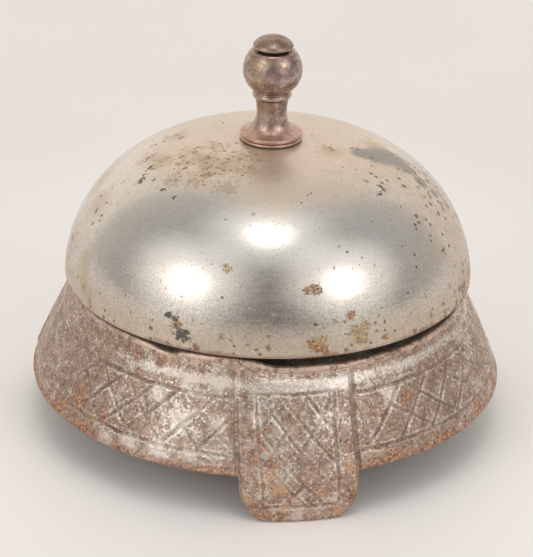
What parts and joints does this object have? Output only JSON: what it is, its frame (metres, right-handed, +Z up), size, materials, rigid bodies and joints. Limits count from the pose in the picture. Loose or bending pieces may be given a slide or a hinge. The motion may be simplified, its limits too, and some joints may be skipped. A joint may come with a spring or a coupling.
{
  "type": "service bell",
  "caption": "Hotel reception call bell: a push button on a turned finial drives a rod, rocker and hammer under a spun metal gong on a flared base with three feet.",
  "frame": {"origin": "on the bell's axis, at the plane of the table the feet stand on", "axes": "+Z up along the bell's axis; the front foot faces -Y and the hammer lies towards +Y; the mechanism is symmetric about the plane X = 0 apart from its torsion spring"},
  "size_m": [0.089, 0.0902, 0.0746],
  "materials": {
    "oxidised_plate": "worn, oxidised nickel plate on embossed steel sheet, rust at the edges",
    "gong_nickel": "worn nickel plate, satin with a dull haze and rust pits",
    "patinated_brass": "dark brown patina, glossy where worn",
    "steel": "plain stamped and turned steel, lightly tarnished",
    "spring_steel": "drawn spring wire",
    "brass": "turned brass",
    "leather": "hard sole leather"
  },
  "bodies": {
    "base": {"base_shell": "oxidised_plate", "center_post": "steel", "post_nut": "steel", "post_washer": "steel", "gong_washer": "leather", "gong": "gong_nickel", "finial_washer": "patinated_brass", "finial": "patinated_brass", "lever_bracket": "steel", "bracket_rivet_inner": "steel", "bracket_rivet_outer": "steel", "rocker_pin": "steel", "hammer_pin": "steel", "hammer_spring": "spring_steel", "hammer_buffer": "leather", "plunger_spring": "spring_steel"},
    "plunger": {"push_button": "patinated_brass", "plunger_rod": "steel", "plunger_clip": "spring_steel"},
    "rocker": {"rocker_lever": "steel"},
    "hammer": {"hammer_arm": "steel", "hammer_head": "brass", "hammer_rivet": "steel"}
  },
  "joints": [
    {"name": "button_press", "type": "slide", "parent": "base", "child": "plunger", "axis": [0, 0, -1], "range_m": [-0.0022, 0.0003], "stiffness_N_per_m": 400, "springref_m": -0.0022, "deforming": ["plunger_spring"]},
    {"name": "rocker_pivot", "type": "hinge", "parent": "base", "child": "rocker", "pos_m": [0, 0.009, 0.0126], "axis": [1, 0, 0], "range_deg": [-13.6, 2]},
    {"name": "hammer_pivot", "type": "hinge", "parent": "base", "child": "hammer", "pos_m": [0, 0.022, 0.0154], "axis": [-1, 0, 0], "range_deg": [-14.8, 2.2], "deforming": ["hammer_spring"]}
  ],
  "couplings": [
    {"joint": "rocker_pivot", "follows": "button_press", "rad_per_m": 107},
    {"joint": "hammer_pivot", "follows": "button_press", "rad_per_m": 116}
  ]
}
